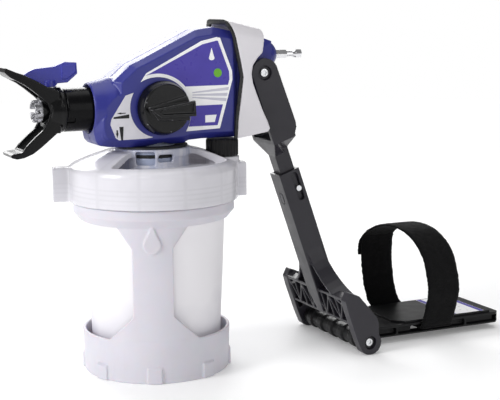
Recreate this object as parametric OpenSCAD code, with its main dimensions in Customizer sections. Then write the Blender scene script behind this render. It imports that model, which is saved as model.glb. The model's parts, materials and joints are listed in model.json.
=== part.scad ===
// Handheld airless paint sprayer with a drill-driven pump, a flexible cup liner
// and a folding arm that carries the drill's battery.
// +X points to the drill, -X is the spray direction, -Y is the knob side, +Z is up.
// The origin is the centre of the cup's base on the floor.

/* [Cup] */
// Radius of the cup support at its base ring
cup_r = 58; // [54:0.5:60]
// Height of the top of the base ring
base_ring_h = 33; // [28:1:38]
// Outer radius of the cup cover
cover_r = 66; // [65:0.5:68]
// Height of the lower edge of the cup cover
cover_z = 134; // [133:0.5:136]
// Wall of the flexible liner
liner_wall = 0.8; // [0.6:0.1:1.2]

/* [Pump] */
// Half width of the pump housing
housing_half = 21.5; // [20:0.5:22]
// Wall of the pump housing
housing_wall = 2.6; // [2:0.1:3]
// Height of the spray axis
spray_z = 206; // [204:0.5:208]
// Radius of the retaining nut
nut_r = 16.4; // [15:0.2:17]
// Radius of the prime and spray knob
knob_r = 20.8; // [19:0.2:22]

/* [Drive] */
// Height of the drive shaft
shaft_z = 243; // [242:0.5:244]
// Width across flats of the hex shank
hex_af = 6.35; // [6:0.05:6.5]
// Tooth module of the gear pair
gear_m = 1; // [1:0.1:1]
// Teeth on the pinion
pinion_n = 13; // [13:1:13]
// Teeth on the gear
gear_n = 33; // [33:1:33]
// Tilt of the swash cam in degrees
cam_tilt = 10; // [6:1:10]

/* [Drill arm] */
// Angle of the arm from vertical
arm_tilt = 19; // [15:1:22]
// Distance between the arm's two pivots
arm_l = 232; // [220:1:240]
// Outer width of the telescopic sleeve
sleeve_w = 18.6; // [18:0.2:20]
// Width of the sliding inner tube
tube_w = 13; // [12:0.2:13]
// Half width of the foot bracket
bracket_half = 57; // [54:1:60]
// Half width of the battery plate
plate_half = 33; // [30:1:36]

/* [Strap] */
// Width of the hook-and-loop strap
strap_w = 29; // [25:1:32]
// Thickness of the strap
strap_t = 2; // [1.5:0.1:2.5]

/* [Hidden] */
$fn = 96;
gap = 0.3;        // clearance between moving shells
housing_bottom = 176.5;
pump_x = 0.5;     // prime valve position along the spray axis
gear_z = shaft_z - gear_m * (pinion_n + gear_n) / 2;
pivot_x = 88;     // arm's upper pivot
pivot_z = 229.5;
foot_x = pivot_x + arm_l * sin(arm_tilt);
foot_z = pivot_z - arm_l * cos(arm_tilt);
foot_r = foot_z - 0.05;
arm_c = -1.7;     // offset of the telescopic tube from the pivot line
leg_turn = -112.5; // direction of the front cup leg
cap_x = 53.8;
cap_y = -11.5;
tip_x = -81;
rear_half = 15;   // half width of the housing between the arm plates
label_y = housing_half + 0.05;
cam_x = 35;       // mean position of the swash cam's front face
cam_phase = 17.7; // turn of the cam's low side away from the piston

// ---------------------------------------------------------------- helpers

// A straight rod along X, measured from the current height
module rod_x(x0, x1, r) {
    translate([x0, 0, 0]) rotate([0, 90, 0]) cylinder(h = x1 - x0, r = r);
}

// A straight rod along Y
module rod_y(y0, y1, r) {
    translate([0, y0, 0]) rotate([-90, 0, 0]) cylinder(h = y1 - y0, r = r);
}

// A solid of revolution about X from points [radius, x]
module spin_x(points) {
    rotate([0, 90, 0]) rotate_extrude() polygon(points);
}

// A flat plate from a side view in X and Z, between two Y values
module side_plate(y0, y1) {
    translate([0, y1, 0]) rotate([90, 0, 0]) linear_extrude(y1 - y0) children();
}

// A ring along Z
module ring(r_out, r_in, h) {
    difference() {
        cylinder(h = h, r = r_out);
        translate([0, 0, -1]) cylinder(h = h + 2, r = r_in);
    }
}

// A ring along X
module ring_x(x0, x1, r_out, r_in) {
    difference() {
        rod_x(x0, x1, r_out);
        rod_x(x0 - 1, x1 + 1, r_in);
    }
}

// A box from its two corners
module block(low, high) {
    translate(low) cube([high[0] - low[0], high[1] - low[1], high[2] - low[2]]);
}

// A copy on the far side as well
module both_sides() {
    children();
    mirror([0, 1, 0]) children();
}

// The arm's own frame: its pivot is the origin and it runs along -Z
module arm_frame() {
    translate([pivot_x, 0, pivot_z]) rotate([0, -arm_tilt, 0]) children();
}

// Arc points about a centre
function arc(cx, cy, r, a0, a1, n) =
    [for (i = [0:n]) [cx + r * cos(a0 + (a1 - a0) * i / n), cy + r * sin(a0 + (a1 - a0) * i / n)]];

// ---------------------------------------------------------------- gears

pressure = 25;    // pressure angle
tooth_slack = 0.16; // backlash on each flank
function inv(a) = tan(a) * 180 / PI - a;
function flank_angle(r, rb) = inv(acos(min(1, rb / r)));

// Involute gear outline with a tooth centred on the X axis
function gear_points(n) =
    let (rp = gear_m * n / 2, rb = rp * cos(pressure), ra = rp + 0.85 * gear_m)
    let (rr = rp - 1.05 * gear_m, r0 = max(rb, rr), steps = 4)
    let (half = 90 / n - tooth_slack / rp * 180 / PI + inv(pressure))
    [for (t = [0:n - 1]) let (c = 360 * t / n) each concat(
        [[rr * cos(c - half), rr * sin(c - half)]],
        [for (i = [0:steps]) let (r = r0 + (ra - r0) * i / steps, a = c - half + flank_angle(r, rb))
            [r * cos(a), r * sin(a)]],
        [for (i = [steps:-1:0]) let (r = r0 + (ra - r0) * i / steps, a = c + half - flank_angle(r, rb))
            [r * cos(a), r * sin(a)]],
        [[rr * cos(c + half), rr * sin(c + half)]]
    )];

// A spur gear along X whose outline is turned by a degrees
module gear_x(n, x0, x1, a, bore) {
    difference() {
        translate([x0, 0, 0]) rotate([90, 0, 90]) linear_extrude(x1 - x0)
            rotate(a) polygon(gear_points(n));
        rod_x(x0 - 1, x1 + 1, bore);
    }
}

// ---------------------------------------------------------------- cup

leg_shape = [
    [-35, base_ring_h - 1], [35, base_ring_h - 1], [15.4, 52], [15.4, 104],
    [32.2, 128], [-32.2, 128], [-15.4, 104], [-15.4, 52]
];

module cup_leg() {
    intersection() {
        translate([0, 0, 30]) ring(cup_r - 0.2, cup_r - 2.3, 100);
        rotate([90, 0, 90]) linear_extrude(cup_r + 10) polygon(leg_shape);
    }
}

// A plain paint drop, raised on the front leg
emblem_z = 107;
emblem_r = 6.6;
module drop_emblem() {
    rotate([90, 0, 90]) translate([0, emblem_z, cup_r - 1.5]) linear_extrude(2.6) {
        circle(r = emblem_r);
        polygon([[-0.9 * emblem_r, 2.9], [0.9 * emblem_r, 2.9], [0, 15.4]]);
    }
}

module cup_support() color("lavender") {
    rotate_extrude() polygon([
        [0, 0], [cup_r - 1.5, 0], [cup_r - 1, 0.6], [cup_r, base_ring_h], [cup_r - 2.5, base_ring_h],
        [cup_r - 3.4, 3], [0, 3]
    ]);
    for (i = [0:7]) rotate(22.5 + 45 * i) intersection() {
        translate([0, 0, 0.2]) ring(cup_r + 0.7, cup_r - 2.2, 12);
        block([40, -5.7, 0], [70, 5.7, 12]);
    }
    rotate_extrude() polygon([
        [cup_r - 2, 120], [cup_r, 120], [62.9, 126], [62.9, 133.5], [61.2, 133.5], [61.2, 149.8],
        [57.2, 149.8], [56.6, 126]
    ]);
    for (a = [leg_turn, leg_turn + 180]) rotate(a) cup_leg();
    rotate(leg_turn) drop_emblem();
}

module flex_liner() color("whitesmoke") rotate_extrude() polygon([
    [0, 3.2], [50.3, 3.2], [51, 35], [53.4, 80], [55.4, 126], [55.6, 150], [60.4, 150],
    [60.4, 151.2], [55.6 - liner_wall, 151.2], [55.4 - liner_wall, 126], [53.4 - liner_wall, 80],
    [51 - liner_wall, 35], [50.3 - liner_wall, 3.2 + liner_wall], [0, 3.2 + liner_wall]
]);

neck_r = 29.2;
neck_bore = 25.2;
pocket_z = 161;   // floor of the pocket in front of the neck
pocket_r = 57.6;  // outer radius of the pocket
pocket_start = -143;
pocket_sweep = 113;
ears = [[165, 78], [-15, 73]]; // direction and reach of the cover's ears
ear_half = 6;

// A wedge of the cover around the neck's front
module front_sector(r_in, r_out, z0, z1) {
    rotate(pocket_start) rotate_extrude(angle = pocket_sweep)
        translate([r_in, z0]) square([r_out - r_in, z1 - z0]);
}

module cup_cover() color("ghostwhite") difference() {
    union() {
        rotate_extrude() polygon([
            [neck_bore, 174.8], [neck_r, 174.8], [neck_r, 173.2], [36, 172.4], [48, 168.6], [62, 163],
            [65, 161.2], [cover_r, 158.5], [cover_r, cover_z], [62, cover_z], [62, 152.6],
            [54, 152.6], [54, 159.6], [33, 168.6], [neck_r - 1, 168.6], [neck_r - 1, 158],
            [21, 158], [21, 160], [neck_bore, 160]
        ]);
        front_sector(neck_r - 2, pocket_r + 2.4, pocket_z - 2.4, pocket_z);
        front_sector(pocket_r, pocket_r + 2.4, pocket_z - 2.4, pocket_z + 2.6);
        for (e = ears) rotate(e[0]) block([cover_r - 3, -ear_half, cover_z], [e[1], ear_half, 160.5]);
        translate([cap_x, cap_y, 153]) cylinder(h = 12.4, r = 13.5);
        translate([cap_x, cap_y, 164]) cylinder(h = 11.8, r = 9.9);
    }
    front_sector(neck_r, pocket_r, pocket_z, 180);
    translate([cap_x, cap_y, 160]) cylinder(h = 20, r = 7.5);
    translate([cap_x, cap_y, 165.4]) ring(14.2, 10, 20);
    translate([48.5, -10.4, 150]) cylinder(h = 15, r = 2.6);
    cylinder(h = 170, r = 21);
    rotate(-90) block([20, -5.7, 165.2], [31, 5.7, 171]);
    rotate(-123) block([20, -7.5, 163], [31, 7.5, 173]);
}

module cover_gasket() color("dimgray") translate([0, 0, 151.4]) ring(60.4, 54.4, 1.15);

module vac_cap() color("black") translate([cap_x, cap_y, 165.7]) {
    difference() {
        cylinder(h = 13.3, r = 12.3);
        translate([0, 0, -1]) cylinder(h = 12.4, r = 10.4);
    }
    for (i = [0:23]) rotate(15 * i) block([12, -0.7, 0.5], [12.8, 0.7, 12.3]);
}

module vac_valve() color("dimgray") translate([cap_x, cap_y, 176]) cylinder(h = 1.05, r = 9.8);

// ---------------------------------------------------------------- housing

front_outline = [
    [-41, 177.7], [-48, 179], [-50.8, 182], [-52, 188], [-52, 196], [-36, 218], [-36, 227],
    [-22, 239], [-15, 242], [31, 264], [46, 266], [57, 263.5], [66, 262], [66, 180],
    [35, 180.2], [24, 179.6], [20, 177.7], [-2.5, housing_bottom], [-23.5, housing_bottom]
];
rear_outline = [
    [60, 181], [80, 181.5], [89, 183.5], [93.5, 191], [96, 205], [97, 222], [98, 234],
    [98, 254], [86, 258], [60, 262.5]
];
outline_mid = [6, 221]; // centre towards which the shell's edges draw in
edge_h = 6.5;           // height of the drawn-in edge
edge_scale = [0.9, 0.87];

// One side of a shell: flat in the middle, drawn in towards its side face
module half_form(inset, half, edge) {
    rotate([90, 0, 0]) {
        linear_extrude(half - edge) offset(delta = -inset) children();
        translate([outline_mid[0], outline_mid[1], half - edge])
            linear_extrude(edge, scale = edge_scale, slices = 1, $fn = 0)
            translate(-outline_mid) offset(delta = -inset) children();
    }
}

// Cone-shaped nose that carries the retaining nut
module nose() {
    intersection() {
        translate([0, 0, spray_z]) spin_x([
            [0, -52.4], [19.2, -52.4], [20, -51.2], [21.9, -42], [23.8, -36], [24, -34], [0, -30]
        ]);
        block([-60, -housing_half, 150], [0, housing_half, 250]);
    }
}

module rear_dome() {
    translate([0, 0, shaft_z]) spin_x([
        [0, 94], [11.2, 94], [11.2, 98], [10.4, 100.5], [8.4, 103], [6.2, 104.8], [5.2, 105.4], [0, 105.4]
    ]);
}

// Screw places: [x, z, half width of the shell there]
screw_deep = 5.5; // depth of the holes that take the screws' heads
screw_places = [
    [-44, 187, housing_half], [-24, 229, housing_half], [14, 246, housing_half],
    [52, 188.5, housing_half], [79, 190, rear_half], [76, 253, rear_half]
];

// The right-hand shell without its screw holes
module shell_half() {
    difference() {
        intersection() {
            union() {
                half_form(0, housing_half, edge_h) polygon(front_outline);
                half_form(0, rear_half, 4) polygon(rear_outline);
                nose();
                rear_dome();
            }
            block([-80, -40, 150], [120, 0, 300]);
        }
        difference() {
            half_form(housing_wall, housing_half - housing_wall, edge_h) polygon(front_outline);
            block([-60, -30, spray_z - 40], [-47, 1, spray_z + 40]);
        }
        half_form(housing_wall, rear_half - housing_wall, 4) polygon(rear_outline);
        block([55, -11.5, 195], [75, 1, 252]);
        translate([0, 0, spray_z]) {
            rod_x(-60, -30, 11.5);
            spin_x([[0, -60], [19.2, -60], [18.6, -52.4], [nut_r + 0.5, -48.2], [0, -48.2]]);
        }
        translate([0, 0, shaft_z]) {
            rod_x(80, 100.5, 8.1);
            rod_x(90, 120, 4.8);
        }
        translate([0, 1, 0]) cylinder(h = 190, r = 18);
        translate([pivot_x, -40, pivot_z]) rod_y(0, 41, 4.03);
    }
    for (s = screw_places) translate([s[0], -s[2] + 1.5, s[1]]) rod_y(0, s[2] - 1.5, 3.6);
    difference() {
        translate([pivot_x, -rear_half + 1, pivot_z]) rod_y(0, 6, 6.6);
        translate([pivot_x, -40, pivot_z]) rod_y(0, 41, 4.03);
        translate([0, 0, shaft_z]) rod_x(80, 100.5, 8.1);
    }
}

module housing_right() color("mediumblue") difference() {
    shell_half();
    for (s = screw_places) translate([s[0], -s[2] + 4, s[1]]) rod_y(0, 40, 1.45);
    translate([pump_x, -40, spray_z]) rod_y(0, 35, 7);
}

module housing_left() color("mediumblue") difference() {
    mirror([0, 1, 0]) shell_half();
    for (s = screw_places) translate([s[0], 0, s[1]]) {
        rod_y(-1, 40, 1.6);
        translate([0, s[2] - screw_deep, 0]) rod_y(0, 40, 3.2);
    }
}

module housing_screws() color("silver") for (s = screw_places) translate([s[0], 0, s[1]])
    translate([0, s[2] - screw_deep + 0.05, 0]) {
        rod_y(-24 + housing_half - s[2], 0.5, 1.4);
        difference() {
            rod_y(0, 2, 3);
            translate([0, 1, 0]) rotate([-90, 0, 0]) cylinder(h = 2, r = 1.5, $fn = 6);
        }
    }

// Side view of the grey saddle cover, front edge first
saddle_front = [
    [61.6, 179.4], [62.7, 195.2], [65.2, 212], [67.2, 227], [65.5, 237.1], [61.1, 258], [57.6, 269.7],
    [57.4, 272]
];
saddle_rear = [
    [63, 272], [85.7, 264], [86.1, 259.9], [85.4, 255.1], [83.9, 245.6], [79.5, 241.5], [75.6, 236],
    [74.4, 229.5], [75.4, 222.5], [78.5, 214], [84, 200], [88, 191.7], [90, 186], [88.2, 183.4]
];
saddle_half = 24.5;
saddle_wall = 2.4;
saddle_slope = 14;

// Rounded cross-section swept along the sloping top
module saddle_form(inset) {
    translate([50, 0, 273 - inset]) rotate([0, saddle_slope, 0]) rotate([90, 0, 90]) linear_extrude(60)
        polygon(concat(
            [[saddle_half - inset, -110], [saddle_half - inset, -12]],
            arc(saddle_half - 12, -12, 12 - inset / 2, 15, 90, 6),
            arc(12 - saddle_half, -12, 12 - inset / 2, 90, 165, 6),
            [[inset - saddle_half, -12], [inset - saddle_half, -110]]
        ));
}

module saddle_shell(outline) {
    difference() {
        intersection() {
            saddle_form(0);
            side_plate(-40, 40) polygon(outline);
        }
        saddle_form(saddle_wall);
    }
}

module saddle_cover() color("lightgray") saddle_shell(concat(saddle_front, saddle_rear));

module saddle_trim() color("black") {
    n = len(saddle_front);
    saddle_shell(concat(
        [for (i = [0:n - 1]) saddle_front[i] - [0.1, 0]],
        [for (i = [n - 1:-1:0]) saddle_front[i] - [2.6, 0]]
    ));
}

// A thin plate on the knob side's flat face
module side_decal(t) {
    side_plate(-label_y - t, -label_y) children();
}

module side_label() color("slateblue") side_decal(0.3) difference() {
    polygon([[45.8, 258.4], [48.8, 257.8], [58.6, 232.2], [58.8, 225.4], [47.7, 188.1], [4, 186.6],
        [-16.6, 226.3], [-12.1, 232.6], [33, 255.6]]);
    translate([-3.6, 202.1]) circle(r = 27.4);
}

module position_label() color("gainsboro") side_decal(0.3) difference() {
    polygon([[-28.9, 216.5], [-22.8, 218.3], [-8, 206], [-8, 184], [-13.3, 183.4], [-35, 183.2],
        [-37.5, 185], [-41.4, 195.1], [-40.5, 199.2]]);
    translate([-2.4, 206.8]) circle(r = 23.2);
}

// ---------------------------------------------------------------- pump

module pump_block() color("silver") difference() {
    union() {
        block([-28, -11, 193], [20, 11, 219]);
        translate([0, 0, spray_z]) rod_x(-28, 22, 9);
        for (x = [-24, 16]) block([x - 3, -17.5, 210], [x + 3, 17.5, 216]);
    }
    translate([0, 0, spray_z]) {
        rod_x(9, 30, 5.05);
        rod_x(16.8, 20, 6.6);
        rod_x(-40, 9.5, 2);
        rod_x(-40, -18, 7.03);
    }
    translate([pump_x, -20, spray_z]) rod_y(0, 23, 4.55);
    translate([14, 0, 190]) cylinder(h = 16, r = 3);
    translate([2, 0, 190]) cylinder(h = 16, r = 1.8);
}

module inlet_manifold() color("lightsteelblue") difference() {
    union() {
        translate([0, 0, 161]) cylinder(h = 14, r = 24.6);
        intersection() {
            translate([0, 0, 174]) cylinder(h = 18.8, r = 17.4);
            block([-20, -11.5, 174], [20, 11.5, 193]);
        }
    }
    translate([0, 0, 168]) ring(30, 23, 2.4);
    translate([14, 0, 150]) cylinder(h = 60, r = 3);
    translate([2, 0, 150]) cylinder(h = 60, r = 1.8);
    translate([14, 0, 150]) cylinder(h = 18, r = 4.02);
    translate([2, 0, 150]) cylinder(h = 18, r = 3.02);
}

module neck_gasket() color("black") {
    translate([0, 0, 168.1]) ring(24.9, 23.05, 2.2);
    translate([0, 0, 175.1]) ring(27, 17.6, 1.3);
}

suction_h = 154; // length of the suction tube
module suction_tube() color("white") translate([14, 0, 13.5]) ring(4, 2.8, suction_h);

module suction_strainer() color("gray") translate([14, 0, 5.6]) difference() {
    union() {
        cylinder(h = 9, r = 11);
        translate([0, 0, 8.9]) cylinder(h = 8, r = 6);
    }
    translate([0, 0, 1.5]) cylinder(h = 5.5, r = 9.6);
    translate([0, 0, 7.8]) cylinder(h = 20, r = 4.02);
    translate([0, 0, 5]) cylinder(h = 20, r = 2.6);
    for (i = [0:11]) rotate(30 * i) block([8, -1.4, 1.5], [12, 1.4, 7]);
}

module return_tube() color("white") translate([2, 0, 110]) ring(3, 1.8, 57.5);

// ---------------------------------------------------------------- gears and shafts

module gear_frame() color("gray") difference() {
    union() {
        for (x = [[43, 47], [60, 64]]) block([x[0], -10.5, 199], [x[1], 10.5, 256]);
        for (z = [[253, 256], [199, 201.5]]) block([43, -9, z[0]], [64, 9, z[1]]);
    }
    translate([0, 0, shaft_z]) {
        rod_x(40, 47.5, 7);
        rod_x(59, 66, 5.2);
    }
    translate([0, 0, gear_z]) rod_x(40, 66, 6.5);
}

module rear_bearing_block() color("gray") difference() {
    block([89.5, -7.8, 235.2], [93.7, 7.8, 251.6]);
    translate([0, 0, shaft_z]) rod_x(80, 100, 7);
}

module shaft_bearings() color("silver") translate([0, 0, shaft_z]) {
    ring_x(43, 47, 6.95, 4.03);
    ring_x(89.7, 93.5, 6.95, 4.03);
}

module gear_bearings() color("silver") translate([0, 0, gear_z]) {
    ring_x(43, 47, 6.45, 4.03);
    ring_x(60, 64, 6.45, 4.03);
}

module shaft_seal() color("black") translate([0, 0, shaft_z]) ring_x(97, 100.4, 8.05, 4.1);

hex_r = hex_af / 2 / cos(30); // corner radius of the hex shank

module hex_shaft() color("silver") translate([0, 0, shaft_z]) {
    rod_x(41, 103, 4);
    translate([102, 0, 0]) rotate([0, 90, 0]) rotate(30) cylinder(h = 13.6, r = hex_r, $fn = 6);
    spin_x([[0, 115], [3.1, 115], [2.4, 116.4], [2.4, 121], [3.4, 123.4], [3.4, 124.4], [0, 124.4]]);
    translate([124, 0, 0]) rotate([0, 90, 0]) rotate(30) cylinder(h = 5, r = hex_r, $fn = 6);
}

module drive_pinion() color("goldenrod") translate([0, 0, shaft_z])
    gear_x(pinion_n, 49, 57, -90, 4.01);

module shaft_clip() color("black") translate([0, 0, shaft_z]) ring_x(57.2, 58.2, 6.2, 4.02);

module drive_gear() color("gold") translate([0, 0, gear_z])
    gear_x(gear_n, 49, 57, 90 + 180 / gear_n, 4.01);

module gear_shaft() color("silver") translate([0, 0, gear_z]) rod_x(34, 65, 4);

module swash_cam() color("darkgray") translate([0, 0, gear_z]) difference() {
    intersection() {
        rod_x(cam_x - 6, cam_x + 12, 16.5);
        translate([cam_x, 0, 0]) rotate([cam_phase, 0, 0]) rotate([0, -cam_tilt, 0])
            block([0, -20, -20], [4.4, 20, 20]);
    }
    rod_x(20, 60, 4.01);
}

// ---------------------------------------------------------------- piston and valves

module piston() color("silver") translate([0, 0, spray_z]) {
    rod_x(11, 28, 5);
    rod_x(27.9, 29.8, 7.2);
    rod_x(29.7, 31.6, 2.5);
}

module piston_seal() color("black") translate([0, 0, spray_z]) ring_x(16.9, 19.9, 6.55, 5.1);

// Closed turns of a wire spring around X
module spring_rings(x0, x1, r, wire, turns) {
    for (i = [0:turns - 1])
        let (x = x0 + wire + (x1 - x0 - 2 * wire) * i / (turns - 1))
        rotate([0, 90, 0]) translate([0, 0, x]) rotate_extrude() translate([r, 0]) circle(r = wire, $fn = 24);
}

module piston_spring() color("silver") translate([0, 0, spray_z]) spring_rings(22.1, 27.4, 6.3, 0.6, 3);

module outlet_fitting() color("silver") translate([0, 0, spray_z]) difference() {
    union() {
        rod_x(-28.2, -18.2, 7);
        rotate([0, 90, 0]) translate([0, 0, -33]) cylinder(h = 5, r = 11, $fn = 6);
        rod_x(-66.6, -32, 10);
    }
    rod_x(-80, 0, 2.2);
    rod_x(-80, -48, 5.5);
    rod_x(-80, -60, 7);
}

module outlet_seat() color("gold") translate([0, 0, spray_z]) ring_x(-66.4, -60.1, 6.95, 2);

module outlet_ball() color("silver") translate([-57.6, 0, spray_z]) sphere(r = 3);

module outlet_spring() color("silver") translate([0, 0, spray_z]) spring_rings(-54, -48.2, 3.4, 0.45, 4);

knob_back = 22.3;  // distance of the knob's back from the middle plane
knob_face = 10.3;  // height of the knob's face over its back
lever_foot = [[-15.6, 1.8], [15.6, 9.4], [17.6, -9.4], [-8.4, -8.3]];
lever_waist = [[-14, 0.6], [16.6, 4.6], [16.6, -4.4], [-8, -4.9]];
lever_top = [[-17, 0.4], [19, 6.2], [19.7, -5.6], [-8.7, -5.6]];
lever_dish = [[-10, -0.6], [17.5, 3.9], [17.5, -3.4], [-6.6, -3.4]];

// A layer of the knob's lever, at two heights over the knob's back
module lever_layer(outline, low, high) {
    translate([0, 0, knob_back + low]) linear_extrude(high - low) polygon(outline);
}

module prime_knob() color("black") translate([pump_x, 0, spray_z]) rotate([90, 0, 0]) {
    difference() {
        translate([0, 0, knob_back]) rotate_extrude() polygon([
            [0, 0], [knob_r, 0], [knob_r, 1.2], [knob_r - 2.1, knob_face - 1],
            [knob_r - 3, knob_face - 0.2], [0, knob_face]
        ]);
        translate([0, 0, knob_back - 0.3]) cylinder(h = 9, r = 4.52);
    }
    lever_layer(lever_foot, knob_face - 0.6, knob_face + 1.2);
    lever_layer(lever_waist, knob_face - 0.6, knob_face + 7.2);
    difference() {
        lever_layer(lever_top, knob_face + 6.4, knob_face + 9.2);
        lever_layer(lever_dish, knob_face + 7.4, knob_face + 10);
    }
}

module prime_stem() color("silver") translate([pump_x, 0, spray_z]) difference() {
    rod_y(-30.5, 2.5, 4.5);
    translate([0, -6, 0]) block([-1.6, -1.6, -10], [1.6, 1.6, 10]);
}

module retaining_nut() color("black") translate([0, 0, spray_z]) difference() {
    spin_x([
        [10.1, -50], [10.1, -65.8], [13.2, -65.8], [13.2, -70.6], [11.7, -70.6], [11.7, -72],
        [nut_r - 0.8, -72], [nut_r, -71], [nut_r, -49.4], [nut_r - 1, -48.6], [12.4, -48.6], [12.4, -50]
    ]);
    for (a = [0, 180]) rotate([a + 115, 0, 0]) block([-73, -2.2, nut_r - 1.8], [-66, 2.2, nut_r + 5]);
}

// ---------------------------------------------------------------- tip and guard

// Side views of the guard's two prongs, each a pair of walls joined by a plate at the tip
upper_rail = [
    [-77, 221], [-84.9, 224], [-94.2, 229.3], [-103.4, 234], [-109.1, 236], [-117, 239.4], [-117.6, 236],
    [-113.4, 232.2], [-103.7, 227], [-97.6, 222.5], [-90.4, 216.5], [-86, 212], [-84, 206], [-77, 206]
];
lower_rail = [
    [-77, 189.8], [-79.5, 190], [-86.2, 184.6], [-91.7, 180.2], [-98.3, 175.6], [-105.2, 172.9],
    [-110.5, 172.2], [-114.6, 173.4], [-115.2, 175.4], [-113, 176.4], [-106.5, 177], [-103, 181.5],
    [-96, 188], [-90.5, 192.4], [-86.5, 199], [-84, 206], [-77, 206]
];
prong_out = 12.4; // outer faces of a prong's walls
prong_in = 9.2;   // inner faces

module prong(rail, tip_low, tip_high) {
    both_sides() side_plate(prong_in, prong_out) polygon(rail);
    intersection() {
        side_plate(-prong_out, prong_out) polygon(rail);
        block(tip_low, tip_high);
    }
}

// The opening between the guard's jaws, seen from the side
jaw_gap = [
    [-82.5, 206], [-84.2, 211.2], [-89.5, 214.2], [-100, 218], [-100, 190], [-89.5, 192.8], [-84.2, 200.8]
];
lug_count = 6; // lugs round the orifice

module guard_dome() {
    difference() {
        translate([0, 0, spray_z]) spin_x([
            [4.92, -67.4], [12.8, -67.4], [12.8, -70.3], [11.4, -70.3], [11.4, -72.3], [16.2, -72.3],
            [16.6, -73.6], [16.2, -75], [15.2, -76.4], [15, -79], [14, -83], [12.2, -87.5], [10.8, -90],
            [0, -90], [0, -86], [4.92, -86]
        ]);
        side_plate(-20, 20) polygon(jaw_gap);
    }
    translate([0, 0, spray_z]) rod_x(-94.5, -80, 8.4);
}

module tip_guard() color("black") difference() {
    union() {
        guard_dome();
        prong(upper_rail, [-120, -13, 228], [-109, 13, 245]);
        prong(lower_rail, [-120, -13, 168], [-105, 13, 180]);
        translate([tip_x, 0, spray_z]) cylinder(h = 17.5, r = 8);
    }
    translate([tip_x, 0, spray_z - 10]) cylinder(h = 50, r = 5.5);
    translate([0, 0, spray_z]) {
        rod_x(-100, -80, 4);
        spin_x([[0, -96], [7.4, -96], [4, -88], [0, -88]]);
        rod_x(-80, -60, 4.93);
        for (i = [0:lug_count / 2 - 1]) rotate([30 + 360 / lug_count * i, 0, 0])
            block([-96, -1.2, -12], [-90.4, 1.2, 12]);
    }
}

module tip_seat() color("silver") translate([0, 0, spray_z]) difference() {
    ring_x(-75.4, -68.6, 4.9, 1.6);
    translate([tip_x, 0, -10]) cylinder(h = 20, r = 5.8);
}

module tip_seal() color("darkorange") translate([0, 0, spray_z]) ring_x(-68.5, -67.1, 4.9, 1.8);

flag_outline = [
    [-60, 241.3], [-59.6, 233], [-67.4, 226.6], [-75.2, 226.2], [-76.5, 224.2], [-85.5, 224.2],
    [-88, 227], [-96, 230.5], [-100.6, 233.3], [-97, 235.6], [-92.4, 237.4], [-77.3, 238.8], [-68.9, 242]
];

module tip_flag() color("royalblue") {
    side_plate(-1.7, 1.7) polygon(flag_outline);
    translate([tip_x, 0, 224]) cylinder(h = 4.6, r = 4.4);
    both_sides() side_plate(1.6, 2.3) polygon([
        [-61.4, 240], [-61, 234.4], [-68, 229.4], [-72, 229.4], [-72, 239.4]
    ]);
}

module tip_barrel() color("silver") difference() {
    translate([tip_x, 0, spray_z - 9.8]) cylinder(h = 27.7, r = 5.4);
    translate([0, 0, spray_z]) {
        rod_x(-95, -60, 0.8);
        spin_x([[0, -88], [3.2, -88], [0.8, -83.5], [0, -83.5]]);
    }
}

// ---------------------------------------------------------------- drill arm

plate_in = rear_half + 0.5; // inner face of the fork
plate_out = 20;
head_deep = 3;    // depth of the holes that take the pivot screws' heads

// Outline of a fork plate in the arm's frame
fork_outline = concat(
    arc(0, 0, 11.5, 172, 8, 12),
    [[12.6, -46], [11.8, -50.5], [9, -54.8], [-1, -57.3], [-11.4, -56.6]]
);

module upper_arm() color("dimgray") arm_frame() difference() {
    union() {
        both_sides() side_plate(plate_in, plate_out) polygon(fork_outline);
        hull() {
            block([-11.4, -plate_out, -57], [-8.6, plate_out, -53.5]);
            block([arm_c - tube_w / 2, -tube_w / 2, -70], [arm_c + 2, tube_w / 2, -68]);
        }
        hull() {
            block([-11.4, -plate_out, -57], [9, plate_out, -55.2]);
            block([arm_c - tube_w / 2, -tube_w / 2, -66], [arm_c + tube_w / 2, tube_w / 2, -64]);
        }
        block([arm_c - tube_w / 2, -tube_w / 2, -140], [arm_c + tube_w / 2, tube_w / 2, -60]);
    }
    block([arm_c - tube_w / 2 + 2, -tube_w / 2 + 2, -150], [arm_c + tube_w / 2 - 2, tube_w / 2 - 2, -72]);
    block([arm_c - tube_w / 2 - 1, -3.2, -128], [arm_c - tube_w / 2 + 5, 3.2, -90]);
    rod_y(-30, 30, 2.55);
    both_sides() rod_y(plate_out - head_deep, 30, 5.6);
    translate([2, 0, -101.7]) rod_y(-10, 0, 1.52);
}

module pivot_sleeve() color("silver") translate([pivot_x, 0, pivot_z]) difference() {
    rod_y(-rear_half, rear_half, 4);
    rod_y(-20, 20, 2.6);
}

module arm_screws() color("silver") translate([pivot_x, 0, pivot_z]) both_sides() difference() {
    union() {
        rod_y(6, 18, 2.5);
        rod_y(plate_out - head_deep + 0.02, plate_out - head_deep + 1.6, 3.1);
    }
    translate([0, plate_out - head_deep + 0.6, 0]) rotate([-90, 0, 0]) cylinder(h = 5, r = 2, $fn = 6);
}

slot_mid = -100;  // middle of the guide slot
slot_l = 24;
slot_w = 5;

module guide_screw() color("silver") arm_frame() translate([2, 0, -101.7]) {
    rod_y(-8, -4, 1.5);
    rod_y(-9.6, -6.55, 2.3);
}

// One half of the foot bracket in the arm's frame: outline of its leg
leg_outline = concat(
    [[-10.5, -200], [-10, -190], [-4.5, -184.5], [3, -191], [12.3, -214], [12.3, -220]],
    arc(0, -arm_l, foot_r, 20, -160, 14),
    [[-10.2, -224]]
);

// Pocket in a leg's inner face, with a fan of ribs from the pivot
leg_pocket = [
    [-7.8, -221], [-8, -200.5], [-7.6, -191.5], [-4.5, -188], [1.6, -193], [9.6, -214.4], [9.6, -219.6]
];

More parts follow.
